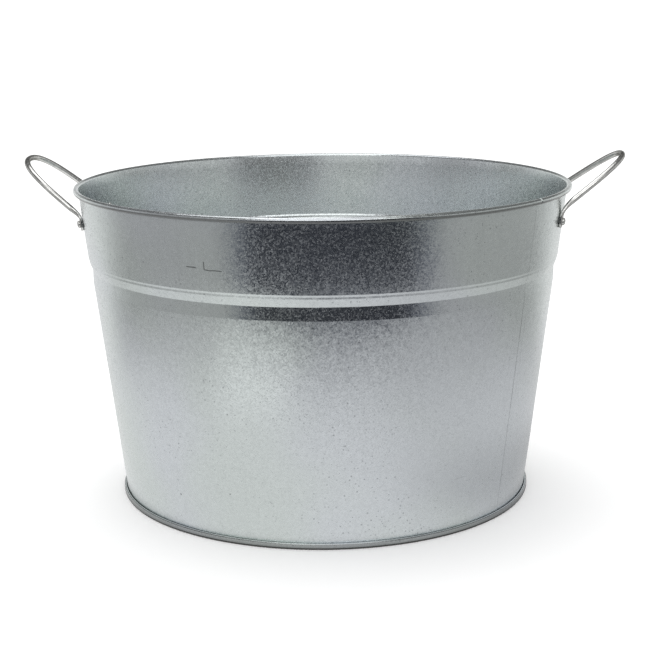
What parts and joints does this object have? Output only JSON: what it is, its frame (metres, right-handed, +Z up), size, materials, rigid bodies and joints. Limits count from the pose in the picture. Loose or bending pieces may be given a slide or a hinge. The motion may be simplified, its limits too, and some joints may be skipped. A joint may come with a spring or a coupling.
{
  "type": "florist bucket",
  "caption": "Round tapered galvanised steel tub with a rolled rim, a stepped band under it, a seamed recessed base and a slanted wire loop handle riveted on each side.",
  "frame": {"origin": "middle of the ring that the tub stands on, on the floor", "axes": "+Z up along the tub's axis; the two handles lie along +X and -X"},
  "size_m": [0.4831, 0.3998, 0.2759],
  "materials": {
    "galvanised_sheet": "hot-dip galvanised sheet with a fine spangle, semi-gloss",
    "plated_wire": "bright zinc-plated steel wire",
    "rivet_steel": "zinc-plated steel",
    "rim_wire_steel": "plain drawn steel wire, hidden in the rim",
    "sealing_compound": "matt seam sealing compound, hidden in the base seam"
  },
  "bodies": {
    "root": {"body_sheet": "galvanised_sheet", "base_pan": "galvanised_sheet", "rim_wire": "rim_wire_steel", "seam_sealant": "sealing_compound", "handle_left": "plated_wire", "handle_right": "plated_wire", "rivet_left_front": "rivet_steel", "rivet_left_back": "rivet_steel", "rivet_right_front": "rivet_steel", "rivet_right_back": "rivet_steel"}
  },
  "joints": []
}
